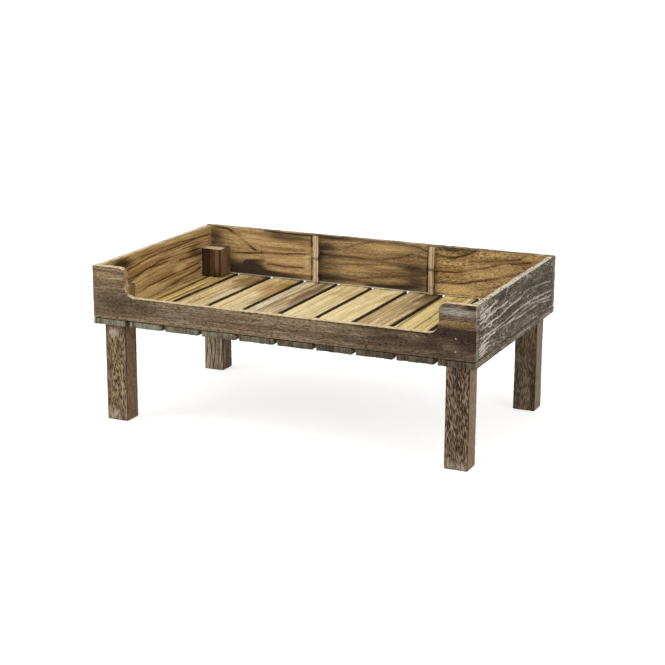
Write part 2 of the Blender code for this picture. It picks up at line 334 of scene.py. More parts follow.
# layers through a plank's thickness with the pull-in that rounds its arrises
def easedLayers(thickness, ease, step):
    start = np.array(rounding["layers"]) * ease
    count = max(2, round((thickness - 2 * ease) / step) + 1)
    middle = np.linspace(ease, thickness - ease, count)
    layers = np.concatenate([start[:-1], middle, thickness - start[-2::-1]])
    near = np.minimum(np.minimum(layers, thickness - layers), ease)
    return layers, ease - np.sqrt(np.maximum(ease ** 2 - (ease - near) ** 2, 0))


# the nearest of a few rim points to each spot and how far off it is, in parts to save memory
def nearestRim(spots, rim, parts=40):
    near, gap = [], []
    for part in np.array_split(spots, parts):
        reach = np.hypot(*(part[:, None] - rim).transpose(2, 0, 1))
        near.append(reach.argmin(1))
        gap.append(reach.min(1))
    return np.concatenate(near), np.concatenate(gap)


# closed plank from a lattice of (u, v) points, the lattice cells that hold wood, and the eased layers
def plankShell(gridU, gridV, inside, layers, pullIn, ease):
    flatU, flatV, width = gridU.ravel(), gridV.ravel(), gridU.shape[1]
    cells = np.pad(inside, 1)
    rows, cols = cells.shape
    corners = [(0, 0), (1, 0), (1, 1), (0, 1)]
    first, second = [], []
    for (di, dk), a, b in zip(((0, -1), (1, 0), (0, 1), (-1, 0)), corners, corners[1:] + corners[:1]):
        neighbour = cells[1 + di:rows - 1 + di, 1 + dk:cols - 1 + dk]
        found = np.argwhere(inside & ~neighbour)
        first.append((found + a) @ [width, 1])
        second.append((found + b) @ [width, 1])
    first, second = np.concatenate(first), np.concatenate(second)
    run = np.stack([flatU[second] - flatU[first], flatV[second] - flatV[first]], 1)
    inward = np.stack([-run[:, 1], run[:, 0]], 1) / np.linalg.norm(run, axis=1)[:, None]

    # two inward steps meet at each outline point: their sum squared is 4 on a straight run, 2 at a corner
    lean = np.zeros((flatU.size, 2))
    np.add.at(lean, first, inward)
    np.add.at(lean, second, inward)
    size = np.maximum((lean ** 2).sum(1), 1e-9)[:, None]
    shift = 2 * lean / size
    corner = np.where((size > 0.5) & (size < 3), lean / np.sqrt(size), 0) * rounding["corner"] * ease

    i, k = np.nonzero(inside)
    quad = np.stack([i * width + k, (i + 1) * width + k, (i + 1) * width + k + 1, i * width + k + 1], 1)
    face, outline = np.unique(quad), np.unique(first)
    flat = np.column_stack([flatU, flatV])
    rim = flat[outline]
    near, gap = nearestRim(flat, rim)
    shift = shift[outline][near] * np.clip(1 - gap / (rounding["follow"] * ease), 0, 1)[:, None]
    place = np.full((len(layers), flatU.size), -1)
    points, tally = [], 0
    for level, (depth, pull) in enumerate(zip(layers, pullIn)):
        chosen = face if level in (0, len(layers) - 1) else outline
        place[level, chosen] = tally + np.arange(len(chosen))
        tally += len(chosen)
        moved = flat[chosen] + shift[chosen] * pull + corner[chosen]
        points.append(np.column_stack([moved, np.full(len(chosen), depth)]))
    faces = [place[0][quad[:, ::-1]], place[-1][quad]]
    for low, high in zip(place, place[1:]):
        faces.append(np.stack([low[first], low[second], high[second], high[first]], 1))
    return np.concatenate(points), np.concatenate(faces), rim


def boxLattice(length, breadth, step, ease):
    linesU = evenLines(length, step[0], 2 * ease)
    linesV = evenLines(breadth, step[1], 2 * ease)
    gridU, gridV = np.meshgrid(linesU, linesV, indexing="ij")
    return gridU, gridV, np.ones((len(linesU) - 1, len(linesV) - 1), bool)


# shortest distance from each (u, v) to a line drawn through a few points, below nought under the line
def strokeGap(u, v, path):
    gap = np.full(len(u), np.inf)
    for (u0, v0), (u1, v1) in zip(path, path[1:]):
        runU, runV = u1 - u0, v1 - v0
        share = np.clip(((u - u0) * runU + (v - v0) * runV) / (runU ** 2 + runV ** 2), 0, 1)
        offU, offV = u - u0 - share * runU, v - v0 - share * runV
        found = np.hypot(offU, offV) * np.where(runU * offV - runV * offU < 0, -1, 1)
        gap = np.where(np.abs(found) < np.abs(gap), found, gap)
    return gap


def bell(distance, width):
    return np.exp(-(distance / width) ** 2)


def slope(value, gain, cut, low=0):
    return np.clip(value * gain - cut, low, 1)


# noises that bend and ripple the rings, cloud the marks and space the years; sizes on a plank, in mm
grainNoise = dict(
    wave=dict(shift=50), ripple=dict(sizes=(22, 7, 7), shift=50),
    cloud=dict(sizes=(26, 11, 11), shift=90), years=dict(sizes=(1, 1, 1), shift=9),
)
plankSize = dict(waveAcross=30, arris=1.6, end=4, foot=2.4, strokeRipple=2)
yearDrift = dict(pace=0.45, reach=1.4)
cloudRange = dict(least=0.55, swing=0.9)
strokeSpread = dict(haloAbove=5, haloBelow=2, lip=1.7)    # in breadths of the stroke
cutBare = 0.5
# gain and cut of what a face's direction, or the way into the tray, brings out
slopes = dict(
    side=(1.7, 0.3), flat=(1.6, 0.5), end=(2, 0.9), rim=(2, -0.3), top=(2.2, 1), topIn=(1, -0.15),
)


# the wood pattern and the marks on a plank, for each of its points, in mm from its middle
def markWood(points, normals, span, rim, up, look):
    u, v, w = ((points - span / 2) / mm).T
    halfLength, halfBreadth, thickness = span[0] / mm / 2, span[1] / mm / 2, span[2] / mm
    seed = look["seed"]
    across = plankSize["waveAcross"]
    wave = softNoise(u, v, w, (look["waveLength"], across, across), **grainNoise["wave"], seed=seed) - 0.5
    ripple = softNoise(u, v, w, **grainNoise["ripple"], seed=seed + 1) - 0.5
    cloud = softNoise(u, v, w, **grainNoise["cloud"], seed=seed + 2)
    cloud = cloudRange["least"] + cloudRange["swing"] * cloud
    pithV, pithW = (a + b * u + c * u * u / 1000 for a, b, c in (look["pithAcross"], look["pithDepth"]))
    offV, offW = v - pithV + wave * look["wave"] + ripple * look["ripple"], w - pithW
    radius = np.hypot(offV, offW)
    years = radius / look["ringWidth"]
    pace = years * yearDrift["pace"]
    years += yearDrift["reach"] * softNoise(pace, 0 * u, 0 * u, **grainNoise["years"], seed=seed + 3)
    facing = np.abs(normals[:, 1] * offV + normals[:, 2] * offW) / np.maximum(radius, 1)
    toFace = np.minimum(points[:, 2], span[2] - points[:, 2])
    arris = np.maximum(nearestRim(points[:, :2], rim)[1], toFace) / mm
    sides = {"left": -normals[:, 1], "right": normals[:, 1], "front": -normals[:, 2], "rear": normals[:, 2],
             "top": normals[:, up]}
    sides = {name: slope(lean, *slopes["side"]) for name, lean in sides.items()}
    sides["all"] = np.ones(len(u))
    sides["out"] = np.max([sides[name] for name in look["outer"]], axis=0) if look["outer"] else 0 * u
    sides["in"] = 1 - (np.maximum(sides["out"], sides["top"]) if up == 1 else sides["out"])
    endGrain = slope(np.abs(normals[:, 0]), *slopes["end"])
    marks = {
        "ring": years,
        "late": 0 * u,
        "flat": slope(facing, *slopes["flat"], look["flatSawn"]),
        "ends": endGrain * (np.abs(u) > halfLength - plankSize["end"]) * look["ends"],
        "edge": bell(arris, plankSize["arris"]),
        "outer": sides["out"],
        "bare": bell(arris, look["rubWidth"]) * look["rub"],
        "char": bell(arris, look["edgeWidth"]) * look["edgeChar"],
        "grey": 0 * u,
        "warm": 0 * u,
    }
    for name, side, u0, v0, reachU, reachV, amount in look["marks"]:
        patch = np.exp(-((u - u0) / reachU) ** 2 - ((v - v0) / reachV) ** 2) * amount
        marks[name] = marks[name] + patch * sides[side] * cloud
    for name, side, breadth, amount, path in look["strokes"]:
        gap = strokeGap(u, v + ripple * plankSize["strokeRipple"], path) / breadth
        marks[name] = marks[name] + bell(gap, 1) * cloud * amount * sides[side]
        if name == "late":
            spread = np.where(gap > 0, strokeSpread["haloAbove"], strokeSpread["haloBelow"])
            marks["late"] += bell(gap, spread) * look["halo"] * amount * sides[side]
        if name == "grey":
            marks["late"] += bell(gap + strokeSpread["lip"], 1) * look["lip"] * amount * sides[side]
    inward = (w if "front" in look["outer"] else -w) / thickness
    marks["char"] = marks["char"] + slope(inward, *slopes["rim"]) * sides["top"] * look["rimChar"]
    keptBare = look["topBare"] - slope(inward, *slopes["topIn"]) * 2 * look["rimChar"]
    worn = slope(normals[:, up], *slopes["top"]) * keptBare
    # a pale band along the foot of the inner faces, drawn in the bare tone
    foot = np.exp(-((v + halfBreadth) / plankSize["foot"]) ** 4) * sides["in"] * look["footPale"]
    cut = endGrain * (np.abs(u) < halfLength - plankSize["end"]) * cutBare
    marks["bare"] = np.max([marks["bare"], worn, foot, cut], axis=0)
    return marks


grainDrift = 5        # metres, so that no two planks show the same stretch of noise


# a plank in place of one CAD node; axes are those along, across and through it
def makePlank(node, axes, look, lattice=None):
    low, high = (np.array(corner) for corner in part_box(node))
    order = ["xyz".index(axis) for axis in axes]
    low[order[1:]] -= look["swell"] * mm
    high[order[1:]] += look["swell"] * mm
    span = (high - low)[order]
    ease = look["ease"] * mm
    lattice = lattice or boxLattice(span[0], span[1], [step * mm for step in look["step"]], ease)
    layers, pullIn = easedLayers(span[2], ease, look["layerStep"] * mm)
    points, faces, rim = plankShell(*lattice, layers, pullIn, ease)
    world = np.zeros_like(points)
    world[:, order] = points + low[order]
    if np.linalg.det(np.eye(3)[order]) < 0:
        faces = faces[:, ::-1]
    mesh = bpy.data.meshes.new(node + "_wood")
    mesh.from_pydata(world.tolist(), [], faces.tolist())
    mesh.shade_smooth()
    normals = np.zeros(len(points) * 3, np.float32)
    mesh.vertex_normals.foreach_get("vector", normals)
    marks = markWood(points, normals.reshape(-1, 3)[:, order], span, rim, order.index(2), look)
    drift = np.random.default_rng(look["seed"]).random(3) * grainDrift
    grain = (points - span / 2) * look["grainScale"] + drift
    grain[:, 1:] += grain[:, :1] * look["lean"]
    for name, values in (marks | {"grain": grain}).items():
        keepValues(mesh, name, values)
    piece = addObject(node + "_wood", mesh)
    bakeTree(piece, reliefTree, {
        "Relief": look["relief"] * mm, "Fibre Depth": look["fibreDepth"] * mm,
        "Fibre Length": brush["fibreLength"] * mm, "Fibre Width": brush["fibreWidth"] * mm,
        "Nibble": look["nibble"] * mm, "Seed": look["seed"],
        "Material": makeWood(look["finish"] + "_" + node, look),
    })
    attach(piece, "root")
    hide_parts(node)


# marks or strokes on one side of a plank, by kind. A mark is (u, v, reach along, reach across, amount) and
# a stroke (breadth, amount, points), in mm from the plank's middle.
def on(side, **kinds):
    return [(kind, side, *item) for kind, items in kinds.items() for item in items]


# what all the wood starts from; each board below changes what differs on it. A pith has its offset, slope
# and bend, in mm from the plank's middle.
plainWood = dict(
    finish="torchedPaulownia", slot="board_wood", outer=(), marks=[], strokes=[], step=(2.2, 1.2),
    layerStep=2, ease=0.8, swell=0, pithAcross=(0, 0, 0), waveLength=120, ripple=1, relief=0.22,
    fibreDepth=0.12, nibble=0.7, rubWidth=1.2, edgeWidth=1.4, grainScale=1, lean=0, ends=0.9, topBare=0,
    footPale=0, flatSawn=0, edgeChar=0, rimChar=0, halo=0.12, lip=0.7, lines=0.65, outerLines=0.45,
    flecks=0.5, outerFlecks=0.35, lime=0, grooves=0.7, contrast=0.9, grit=0.8, gloss=0.22, light="#B29364",
    mid="#8B6E46", dark="#4A3520", outerLight="#8A7760", outerMid="#675643", outerDark="#463829",
    grey="#A6A196", warm="#A6814B", bare="#CDB68D", endLight="#A39C8B", endDark="#4E4637",
)

# front board: quarter-sawn, greyer to the left and darker brown to the right
frontBoard = dict(
    plainWood, seed=11, outer=("front",), pithAcross=(-70, 0.01, 0), pithDepth=(10, 0, 0), ringWidth=5,
    wave=4, ripple=1.4, relief=0.18, nibble=0.4, topBare=0.95, contrast=1.4, grit=3.6, outerLines=0.3,
    outerFlecks=0.4, lime=0.09, flatSawn=0.7, rub=0.15, bare="#D0B991", warm="#A08257",
    outerLight="#998267", outerMid="#766148", outerDark="#42342A", endLight="#9A8F80", endDark="#453B30",
    char="#3A2A1D",
    marks=on("out", char=[(330, -18, 190, 36, 0.9), (110, -12, 120, 40, 0.26), (-245, -18, 60, 26, 0.5),
        (275, -3, 50, 6, 0.5), (290, 36, 9, 3, 1)], grey=[(274, 28, 36, 8, 0.7), (-150, -20, 80, 26, 0.3),
        (-275, 26, 40, 11, 0.3)], warm=[(275, 10, 60, 4.5, 2.3), (-275, 24, 40, 9, 0.8)]),
    strokes=on("out", late=[(1.5, 0.9, [(247, 15), (299, 16)]), (1.6, 0.9, [(247, 3), (299, 3)]),
        (1, 1, [(250, 29), (299, 26)]), (1, 0.9, [(250, 22), (299, 20)]),
        (0.9, 0.9, [(252, 34), (299, 32)]), (1.3, 0.8, [(-299, 33), (-262, 32), (-249, 32)]),
        (1.3, 0.3, [(-299, 19), (-250, 17)])], grey=[(0.8, 0.85, [(-292, 23), (-270, 22), (-250, 22)]),
        (0.7, 0.8, [(299, -38), (299, 38)])]),
)
# the drop-front cut-out in mm, and its mesh: rows added over the drop, how they crowd at its ends, and the
# finer step on the cheeks
frontCut = dict(
    cheekWidth=55, drop=44, topRadius=11.5, footRadius=14.5, moreRows=8, crowding=0.75, cheekStep=0.7,
)


def frontLattice():
    low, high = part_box("front_board")
    length, height = (high.x - low.x) / mm, (high.z - low.z) / mm
    width, drop, top, foot = (frontCut[key] for key in ("cheekWidth", "drop", "topRadius", "footRadius"))
    sill = height - drop
    stepU, stepV = frontBoard["step"]
    margin = 2 * frontBoard["ease"]
    share = np.linspace(0, 1, round(drop / stepV) + frontCut["moreRows"])
    climb = drop * (share - np.sin(math.tau * share) / math.tau * frontCut["crowding"])
    rows = np.concatenate([evenLines(sill, stepV, margin), sill + climb[1:]])
    rise = np.clip(rows - sill, 0, drop)
    fillet = np.sqrt(np.maximum(foot ** 2 - np.maximum(foot - rise, 0) ** 2, 0)) - foot
    shoulder = top - np.sqrt(np.maximum(top ** 2 - np.maximum(rise - drop + top, 0) ** 2, 0))
    cheek = width - fillet - shoulder
    columns = evenLines(width + foot, stepU * frontCut["cheekStep"], margin) / (width + foot)
    middle = np.linspace(cheek[0], length - cheek[0], round((length - 2 * cheek[0]) / stepU))[1:-1]
    gridU = np.concatenate([columns[:, None] * cheek, np.repeat(middle[:, None], len(rows), 1),
                            length - columns[::-1, None] * cheek])
    gridV = np.repeat(rows[None], len(gridU), 0)
    inside = np.ones((gridU.shape[0] - 1, gridU.shape[1] - 1), bool)
    inside[len(columns) - 1:len(columns) + len(middle), np.searchsorted(rows, sill):] = False
    return gridU * mm, gridV * mm, inside


makePlank("front_board", "xzy", frontBoard, frontLattice())
print("front board made")

# side boards: the left one straight-grained, the right one brushed deep with lime in its growth lines
leftSide = dict(
    plainWood, seed=21, outer=("front",), pithAcross=(-95, 0.063, -0.42), pithDepth=(30, 0, 0),
    ringWidth=5.2, wave=1.6, ripple=0.6, waveLength=140, topBare=0.78, rimChar=0.4, lines=0.5, flecks=0.2,
    flatSawn=0.4, lime=0.3, rub=0.2, contrast=1.2, grit=1.3, bare="#CDC4B2", light="#D6B47D",
    mid="#A98550", dark="#50361A", warm="#D2B67D", char="#40290F",
    # the darker patch on the inner face towards the rear end is a painted shadow of the rear corner block
    marks=on("in", char=[(-118, 29, 48, 13, 0.75), (120, 8, 36, 24, 0.58), (60, -35, 70, 3, 0.35),
        (10, 4, 60, 16, 0.2)], warm=[(62, -11, 20, 6, 1.3), (60, 37, 100, 5, 0.8), (-70, -14, 40, 8, 0.5),
        (-70, -31, 60, 7, 0.9), (-10, -30, 60, 7, 0.6)]),
    strokes=on("in", late=[(1.1, 1, [(-111, 15), (-33, 23), (62, 25), (129, 26), (156, 25)]),
        (1.3, 0.8, [(-103, 1), (-34, 7), (22, 7)]), (1.1, 1, [(-101, -3), (-3, 12), (128, 8)]),
        (1.1, 1, [(-84, -29), (-36, -21), (44, -18), (127, -16)]),
        (2, 1, [(-51, -30), (-5, -35), (59, -31), (130, -26)]),
        (1.3, 0.8, [(-60, 29), (0, 30), (62, 30), (112, 28)]), (1.3, 0.8, [(60, 2), (130, -2)]),
        (1.3, 0.8, [(70, 17), (130, 16)])], bare=[(1, 1, [(169, -38), (169, 38)]),
        (0.9, 0.9, [(-60, -38), (150, -38)])]),
)
# lime near the front end: streaks by height and reach, and random speckles by start, length and rise
limeStreaks = {-36: -150, -32: -132, -28: -144, -24: -126, 17: -148, 28: -134, 32: -146, 36: -138}
speckleSeed = 9
speckle = dict(low=(-169, -38, 3, -1), high=(-105, 38, 9, 3), size=(70, 4))
speckles = np.random.default_rng(speckleSeed).uniform(**speckle)
rightSide = dict(
    plainWood, seed=34, outer=("rear",), pithAcross=(-150, 0.019, -0.31), pithDepth=(0, 0, 0),
    ringWidth=5.5, wave=7, waveLength=90, ripple=2.2, relief=0.45, fibreDepth=0.25, topBare=0.95,
    rimChar=0.5, lime=0.7, grooves=0.25, contrast=1.5, grit=4.4, grainScale=0.95, ease=0.3, outerLines=0.4,
    outerFlecks=0.9, flatSawn=0.75, step=(1.8, 0.9), rub=0.05, lip=0.9, dark="#2E251B",
    outerLight="#6E604C", outerMid="#4C3F31", outerDark="#2F2418", grey="#CFC6B8", warm="#6E6355",
    bare="#CCBEA6", char="#3A3027",
    marks=on("out", grey=[(-146, 22, 28, 14, 0.4), (-152, -26, 24, 12, 0.4)], warm=[(20, -30, 90, 9, 0.7),
        (30, 27, 40, 10, 0.5)], char=[(60, 20, 60, 12, 0.5), (-78, 27, 9, 13, 0.7), (150, 5, 110, 40, 0.45),
        (-60, -4, 90, 8, 0.2)]) + on("top", bare=[(-160, 0, 60, everywhere, 0.5)]),
    strokes=on("out", grey=[(1.5, 0.9, [(-166, 2), (-125, 4), (-82, 4), (-38, 8), (8, 9), (31, 14),
        (55, 13), (105, 10), (160, 3)]),
        (1.4, 0.85, [(-165, -9), (-124, -11), (-60, -9), (9, -5), (57, -5), (107, -8), (164, -13)]),
        (1.4, 0.75, [(-160, -20), (-102, -13), (-58, -15), (34, -12), (83, -12), (165, -21)]),
        (1.4, 0.7, [(-80, -20), (-36, -16), (59, -19), (108, -19), (166, -27)]),
        (1.5, 0.9, [(-167, 12), (-147, 11), (-126, 14), (-96, 17), (-70, 15), (-48, 18)]),
        (1.5, 0.85, [(-166, 22), (-136, 24), (-115, 27), (-93, 28)]),
        (1.6, 0.7, [(-62, 22), (-54, 32), (-50, 38)]), (1.2, 0.8, [(104, 12), (108, 24)]),
        *[(1, 0.75, [(-168, v), (reach, v + 2)]) for v, reach in limeStreaks.items()],
        *[(0.8, 0.8, [(u, v), (u + length, v + rise)]) for u, v, length, rise in speckles]]),
)
makePlank("left_side_board", "yzx", leftSide)
makePlank("right_side_board", "yzx", rightSide)
print("side boards made")

# back panels, each from another board, golden inside with torch patches and a darker rim; the left one has
# a painted shadow of the corner block
panelLook = dict(
    plainWood, outer=("rear",), footPale=1, topBare=0.38, lines=0.12, lime=0.3, grit=1.2, contrast=0.6,
    flatSawn=0.85, flecks=0.3, rub=0.1, halo=0.2, bare="#DDD2BC", char="#33271A",
)
panelRim = on("top", char=[(*allOver, 0.5)])
backPanels = {
    "left": dict(
        panelLook, seed=41, pithAcross=(-60, -0.1, 0.6), pithDepth=(-30, 0.1, 0), ringWidth=9, wave=10,
        warm="#C8A874", light="#CDAD77", mid="#9A794A", dark="#4E361B", char="#45382A", grey="#D6C397",
        # low near the left end, a darker patch is a painted shadow of the corner block
        marks=panelRim + on("in", char=[(45, -35, 60, 8, 0.68), (56, 32, 52, 10, 0.74),
            (-74, 22, 28, 22, 0.42), (-84, 14, 12, 40, 0.25), (-20, -29, 36, 14, 1.15),
            (-56, -26, 16, 20, 0.55)], warm=[(-10, 20, 60, 14, 0.7), (50, -8, 60, 8, 0.85),
            (88, 6, 8, 20, 0.6)], grey=[(86, -10, 5, 14, 0.45)]),
        strokes=on("in", char=[(5, 0.5, [(-24, -17), (-8, -13), (8, -12)]), (2, 0.6, [(8, 38), (90, 37)]),
            (1.5, 1, [(95, -38), (95, 38)])], late=[(0.9, 0.6, [(20, -8), (40, -10), (60, -7), (80, -9)]),
            (1.1, 1.9, [(-81, 38), (-59, 36), (-36, 24), (-18, 10), (-7, 3)]),
            (1.4, 1, [(-52, -3), (-18, -2), (37, 2), (91, 6)]), (1.3, 1, [(14, -17), (50, -18), (78, -17)]),
            (1.4, 0.4, [(4, 17), (4, -8)]), (1.5, 0.6, [(-90, 24), (-70, 20), (-50, 17)]),
            (1.4, 0.6, [(-90, 10), (-66, 9)])]),
    ),
    "middle": dict(
        panelLook, seed=43, pithAcross=(22, 0.02, 0), pithDepth=(-10, 0, 2.5), ringWidth=7.5, wave=9,
        flecks=0.5, grainScale=1.2, grit=1.8, light="#B6986A", mid="#8B6F4B", warm="#BF9F6C",
        dark="#4A351F",
        marks=panelRim + on("in", char=[(-92, -6, 46, 60, 0.78), (-60, -30, 60, 9, 0.55),
            (20, -35, 40, 7, 0.7), (76, -28, 40, 17, 0.7), (74, 0, 40, 9, 0.55), (-50, 37, 60, 4, 0.35),
            (-40, 9, 70, 4, 0.32), (60, 20, 20, 6, 0.4)], warm=[(25, 28, 50, 7, 0.9),
            (-20, -36, 40, 4, 0.9), (-30, -12, 30, 4, 0.9), (20, -3, 40, 4, 0.7)]),
        strokes=on("in", late=[(1.3, 0.7, [(-47, 22), (-3, 36), (48, 38), (82, 34), (96, 29)]),
            (1.6, 0.7, [(-87, 10), (-55, 7), (15, 7), (49, 15), (69, 22), (95, 17)]),
            (1.3, 0.6, [(-87, -9), (-38, -5), (12, -1), (66, 1)]),
            (1.3, 0.75, [(-55, -33), (-20, -26), (15, -20), (49, -15), (92, -11)])],
            char=[(1.5, 0.9, [(96, -38), (96, 38)])]),
    ),
    "right": dict(
        panelLook, seed=47, pithAcross=(-40, 0.24, -0.3), pithDepth=(-20, 0, 0), ringWidth=13, wave=9,
        flecks=0.85, grainScale=1.3, grit=2.8, light="#D0B07A", mid="#B08E59", warm="#D8B67C",
        dark="#503518",
        marks=panelRim + on("in", char=[(-60, 36, 42, 7, 0.85)], warm=[(10, 4, 80, 25, 0.5),
            (-60, -28, 50, 8, 1.1)]),
        strokes=on("in", late=[(2, 1, [(-90, 25), (-74, 23), (-62, 23), (-47, 27), (-26, 36)]),
            (1.5, 1.15, [(-90, -1), (-58, -1), (-17, 9), (15, 19), (63, 26)]),
            (1.6, 1.15, [(-91, -20), (-49, -18), (-16, -10), (16, -2), (70, 14)]),
            (1.4, 0.8, [(-34, 19), (15, 24), (47, 30)]), (1.5, 0.7, [(-92, -37), (-66, -32), (-24, -25)])]),
    ),
}
for where, look in backPanels.items():
    makePlank("back_panel_" + where, "xzy", look)
batten = dict(
    plainWood, slot="batten_wood", seed=51, pithAcross=(30, 0, 0), pithDepth=(12, 0, 0), ringWidth=4,
    wave=3, step=(1.6, 1), layerStep=1.2, ease=0.7, lines=0.8, flecks=0.2, rub=0, light="#F6E0B9",
    mid="#D8BC93", dark="#755E44", char="#4A3421",
    # dark knots across the batten; its side faces darken, partly torch burn and partly painted shade
    marks=on("all", char=[(2, 0, 3.6, 20, 0.62), (-26, 0, 3, 20, 0.35)]) + on("left",
        char=[(0, 0, 99, 99, 0.7)]) + on("right", char=[(0, 0, 99, 99, 0.6)]),
    strokes=on("front", late=[(0.9, 0.5, [(-38, -3), (38, -3)]), (0.8, 0.5, [(-38, 2), (38, 2)])]),
)
makePlank("back_batten_left", "zxy", batten)
makePlank("back_batten_right", "zxy", dict(batten, seed=53, light="#DEC79E", mid="#B89E75", strokes=[]))
print("back wall made")

# floor slats, left to right
slatLook = dict(
    plainWood, slot="slat_wood", outer=("front", "left", "right"), ringWidth=6, wave=5, waveLength=160,
    relief=0.16, fibreDepth=0.1, rub=0, nibble=0.9, lime=0.5, step=(2.4, 1.3), outerFlecks=0.5,
    edgeChar=0.85, edgeWidth=2.2, char="#3C2809", grey="#DDD2BC", outerLight="#7A6F5D", outerMid="#5C5244",
    outerDark="#40362A",
)


# light, mid, dark and brown tone, then light and dark tone of the sawn ends
def slatTones(codes):
    return dict(zip(("light", "mid", "dark", "warm", "endLight", "endDark"), codes.split()))


slats = [
    # the first slat darkens along its left edge, a painted shade at the foot of the left wall
    dict(slatTones("#EACC86 #C1A057 #47300E #A07C3E #9A9482 #56523F"), lines=0.8, flecks=0.2, contrast=2.2,
        grit=1.6, halo=0, marks=on("in", char=[(140, 0, 50, 40, 0.3), (40, -25, 140, 4, 0.85)],
        warm=[(-60, -20, 60, 6, 0.4)]),
        strokes=on("in", late=[(3.2, 0.5, [(-160, -6), (0, -3), (150, -5)]),
            (1, 0.5, [(-150, 6), (-20, 9), (140, 7)]), (2.6, 0.6, [(-120, 17), (60, 19), (160, 18)])])),
    dict(slatTones("#E8D099 #C4AA74 #6E5836 #8A6E42 #A09986 #4C4838"), lines=0.6, flecks=0.3,
        marks=on("in", warm=[(125, 10, 60, 26, 0.95)], char=[(150, 20, 50, 10, 0.4)],
            grey=[(20, 20, 90, 6, 0.5)])),
    dict(slatTones("#E9D4A2 #D3B982 #7A5F34 #A27F45 #8C8570 #575240"), lines=0.4, flecks=0.15,
        marks=on("in", warm=[(125, 6, 75, 24, 0.75), (40, 22, 90, 6, 0.5)], char=[(150, 22, 50, 6, 0.4)])),
    dict(slatTones("#DCC596 #B09872 #5A4630 #7A6143 #969078 #4F4A39"), lines=0.6, flecks=0.3, contrast=1.5,
        marks=on("in", grey=[(0, -18, 220, 9, 0.74)], warm=[(80, 15, 120, 14, 0.8)],
            char=[(140, 12, 50, 14, 0.4)])),
    dict(slatTones("#E9D6A4 #D3BD85 #A08850 #B8995A #857D6A #494333"), lines=0.4, flecks=0.1,
        marks=on("in", warm=[(120, 0, 50, 20, 0.5), (110, 22, 60, 7, 0.6)])),
    dict(slatTones("#ECD8A5 #D9C189 #A58A52 #BFA266 #7A7160 #433D2F"), lines=0.45, flecks=0.1,
        marks=on("in", warm=[(60, 10, 90, 12, 0.4), (130, 20, 50, 8, 0.6)])),
    dict(slatTones("#DEC591 #B69B6A #5A4732 #7C6545 #706858 #3B3529"), lines=0.6, flecks=0.25,
        marks=on("in", warm=[(118, 13, 96, 16, 0.8)], char=[(150, 12, 50, 14, 0.45)],
            grey=[(-60, 8, 70, 12, 0.35)])),
    dict(slatTones("#EAD394 #CDB675 #7D6736 #A88C4F #6B6252 #373126"), lines=0.9, flecks=0.1,
        marks=on("in", warm=[(140, 0, 30, 40, 0.6)])),
    dict(slatTones("#D9C38C #B49C66 #6E5932 #8F7746 #6A6152 #373126"), lines=0.7, flecks=0.2,
        marks=on("in", warm=[(100, 0, 70, 20, 0.6)])),
    dict(slatTones("#C6AE79 #A38B5A #655129 #655847 #6F6555 #3A3227"), lines=0.6, flecks=0.2, grit=3,
        lime=0.9, flatSawn=0.7, ease=0.3, edgeChar=0, outerLight="#7F7462", outerMid="#5D5244",
        marks=on("in", warm=[(0, 28, everywhere, 4, 1.2)])),
]
slatSeed = 60
# painted shade: the slat tops darken where they run under the front and back walls, and the slat sides
# darken in the gaps between slats
endShade = on("in", char=[(178, 0, 14, 60, 0.5), (-182, 0, 4, 99, 1.2)])
gapShade = (60, 0, 200, everywhere, 1.5)
for index, look in enumerate(slats):
    draw = np.random.default_rng(slatSeed + index)
    gapSides = ["left"] * (index > 0) + ["right"] * (index < len(slats) - 1)
    shaded = endShade + [("char", side, *gapShade) for side in gapSides]
    makePlank(f"slat_{index + 1:02d}", "yxz", dict(
        slatLook | look, seed=slatSeed + 3 * index, marks=look["marks"] + shaded,
        pithAcross=(draw.uniform(-60, 60), draw.uniform(-0.04, 0.04), 0),
        pithDepth=(draw.uniform(-50, -25), 0, 0),
    ))
print("floor slats made")

